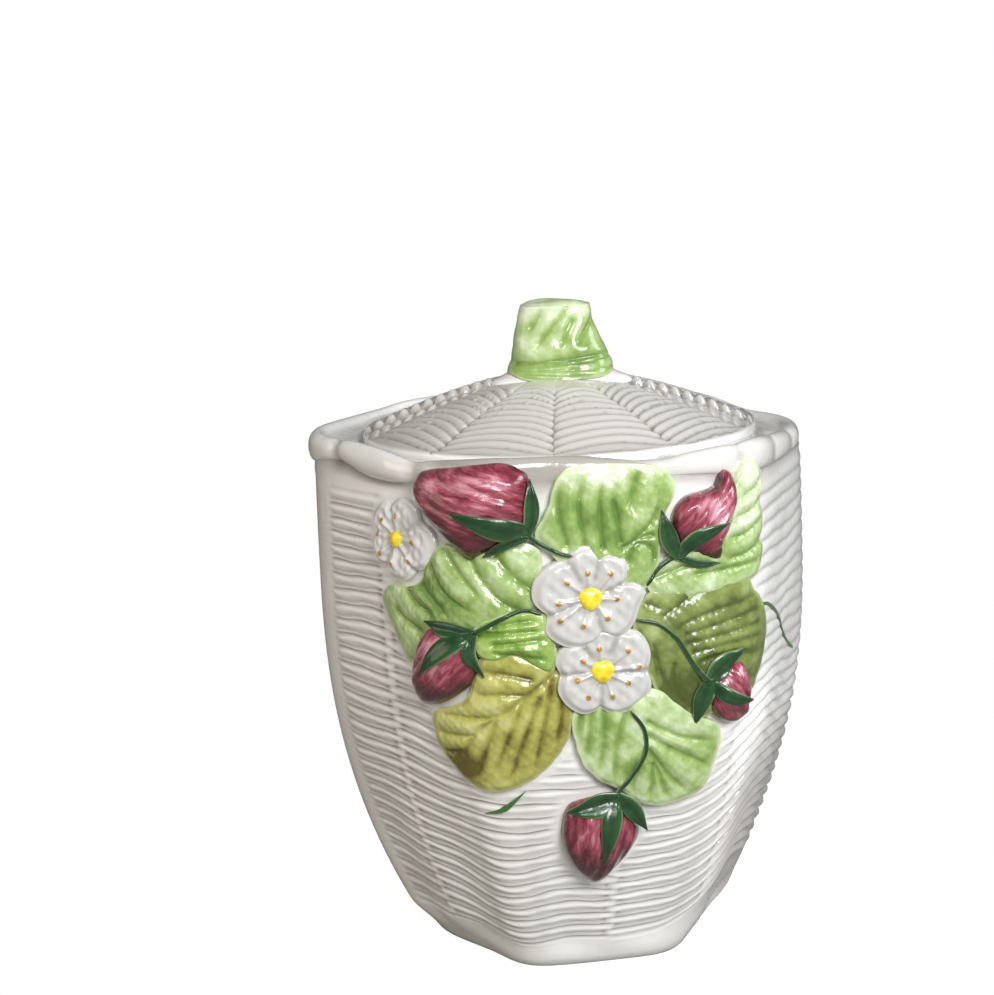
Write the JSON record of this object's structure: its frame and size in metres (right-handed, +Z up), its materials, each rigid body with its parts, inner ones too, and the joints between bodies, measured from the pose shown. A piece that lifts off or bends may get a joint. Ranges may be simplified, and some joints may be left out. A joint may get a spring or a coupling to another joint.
{
  "type": "lidded bonbonniere jar",
  "caption": "Hexagonal basketweave ceramic bonbonniere with a wavy rim, a lift-off domed lid with a leaf knob, and applied strawberries, leaves and blossoms.",
  "frame": {"origin": "centre of the foot, on the surface the jar stands on", "axes": "+Z up along the lid's lift, -Y toward the decorated front, +X to the right of someone facing it"},
  "size_m": [0.1334, 0.1374, 0.1707],
  "materials": {
    "white_glaze": "gloss",
    "leaf_glaze": "gloss",
    "olive_glaze": "gloss",
    "crimson_glaze": "gloss",
    "sepal_glaze": "gloss",
    "yellow_glaze": "gloss"
  },
  "bodies": {
    "jar": {"jar_body": "white_glaze", "leaf_top": "leaf_glaze", "leaf_upper_right": "leaf_glaze", "leaf_right": "olive_glaze", "leaf_lower_right": "leaf_glaze", "leaf_lower_left": "olive_glaze", "leaf_left": "leaf_glaze", "leaf_upper_left": "leaf_glaze", "berry_upper_left": "crimson_glaze", "berry_upper_right": "crimson_glaze", "berry_left": "crimson_glaze", "berry_right": "crimson_glaze", "berry_bottom": "crimson_glaze", "calyx_upper_left": "sepal_glaze", "calyx_upper_right": "sepal_glaze", "calyx_left": "sepal_glaze", "calyx_right": "sepal_glaze", "calyx_bottom": "sepal_glaze", "stem_upper_left": "sepal_glaze", "stem_upper_right": "sepal_glaze", "stem_left": "sepal_glaze", "stem_right": "sepal_glaze", "stem_bottom": "sepal_glaze", "blossom_upper": "white_glaze", "blossom_lower": "white_glaze", "blossom_left": "white_glaze", "centre_upper": "yellow_glaze", "centre_lower": "yellow_glaze", "centre_left": "yellow_glaze"},
    "lid": {"lid_shell": "white_glaze", "knob_core": "white_glaze", "knob_leaf": "leaf_glaze"}
  },
  "joints": [
    {"name": "lid_lift", "type": "slide", "parent": "jar", "child": "lid", "axis": [0, 0, 1], "range_m": [0, 0.08]}
  ]
}
